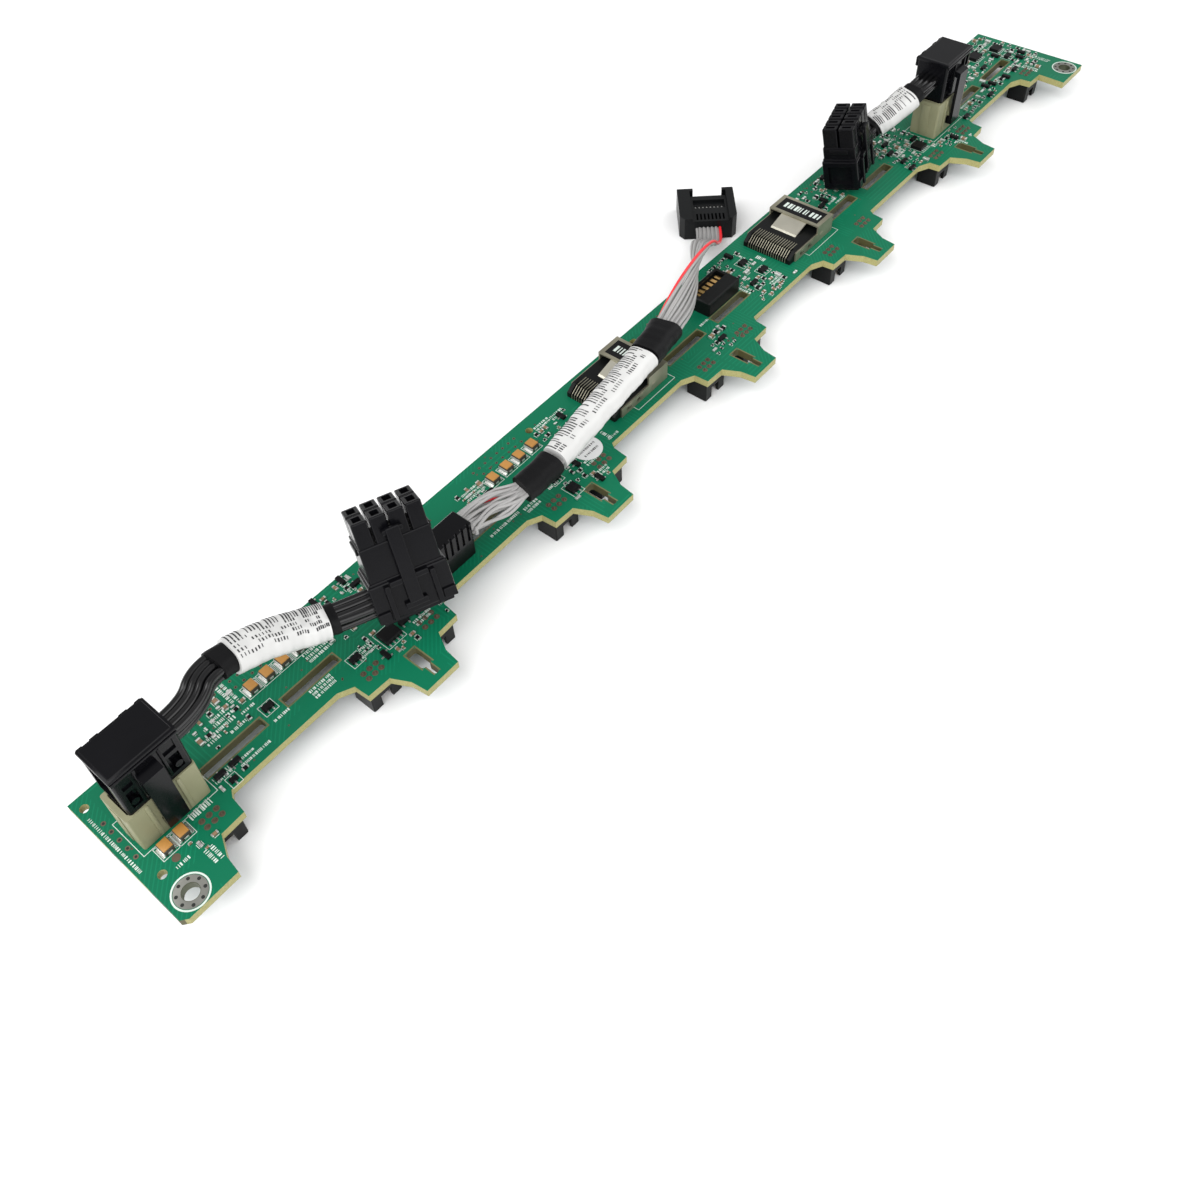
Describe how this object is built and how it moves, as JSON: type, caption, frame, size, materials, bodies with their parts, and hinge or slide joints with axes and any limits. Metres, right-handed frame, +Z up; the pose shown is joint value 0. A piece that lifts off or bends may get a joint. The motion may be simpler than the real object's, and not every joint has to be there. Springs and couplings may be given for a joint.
{
  "type": "sas backplane",
  "caption": "Long green server drive backplane lying rear side up, with mini-SAS ports, beige power headers, fan sockets and short power and signal cables",
  "frame": {"origin": "centre of the rigid board's box on the ground it lies on", "axes": "+X along the board towards its far end, +Y towards the straight edge, +Z up from the ground, out of the rear face"},
  "size_m": [0.418, 0.0751, 0.0456],
  "materials": {
    "board_green": "solder mask over glass fibre, satin gloss",
    "black_nylon": "moulded black nylon",
    "gold_contact": "gold plated contact metal",
    "tin_plate": "dull tin plated steel sheet",
    "beige_nylon": "moulded beige nylon",
    "gloss_black": "moulded black plug plastic",
    "black_jacket": "black wire insulation",
    "white_label": "white label film",
    "grey_jacket": "light grey wire insulation",
    "black_tape": "black cloth tape",
    "charcoal_nylon": "charcoal moulded nylon",
    "foam": "dark foam pad",
    "capacitor_tan": "orange tan moulded capacitor",
    "chip_black": "black chip package",
    "solder": "bright solder"
  },
  "bodies": {
    "root": {"pcb": "board_green", "drive_receptacle_1": "black_nylon", "drive_receptacle_2": "black_nylon", "drive_receptacle_3": "black_nylon", "drive_receptacle_4": "black_nylon", "drive_receptacle_5": "black_nylon", "drive_contacts": "gold_contact", "fan_socket_1": "black_nylon", "fan_socket_2": "black_nylon", "fan_socket_3": "black_nylon", "fan_socket_4": "black_nylon", "fan_socket_5": "black_nylon", "fan_socket_6": "black_nylon", "fan_socket_7": "black_nylon", "fan_socket_8": "black_nylon", "fan_socket_9": "black_nylon", "fan_socket_10": "black_nylon", "fan_socket_11": "black_nylon", "fan_socket_12": "black_nylon", "fan_pins": "gold_contact", "spring_header_1": "black_nylon", "spring_header_2": "black_nylon", "spring_header_3": "black_nylon", "spring_header_4": "black_nylon", "spring_header_5": "black_nylon", "spring_contacts": "gold_contact", "mini_sas_cage_1": "tin_plate", "mini_sas_body_1": "black_nylon", "mini_sas_flap_1": "tin_plate", "mini_sas_cage_2": "tin_plate", "mini_sas_body_2": "black_nylon", "mini_sas_flap_2": "tin_plate", "power_header_1": "beige_nylon", "power_header_2": "beige_nylon", "power_pins": "gold_contact", "power_plug_1": "gloss_black", "power_plug_2": "gloss_black", "power_lead_1": "black_jacket", "power_lead_2": "black_jacket", "power_sleeve_1": "white_label", "power_sleeve_2": "white_label", "power_connector_1": "gloss_black", "power_connector_2": "gloss_black", "signal_header": "black_nylon", "signal_pins": "gold_contact", "signal_plug": "gloss_black", "signal_cable": "grey_jacket", "signal_sleeve": "white_label", "signal_band_1": "black_tape", "signal_band_2": "black_tape", "signal_connector": "charcoal_nylon", "board_connector": "black_nylon", "board_connector_contacts": "gold_contact", "foam_pad_1": "foam", "foam_pad_2": "foam", "rear_capacitors": "capacitor_tan", "rear_chips": "chip_black", "drive_side_chips": "chip_black", "solder_tails": "solder"}
  },
  "joints": []
}
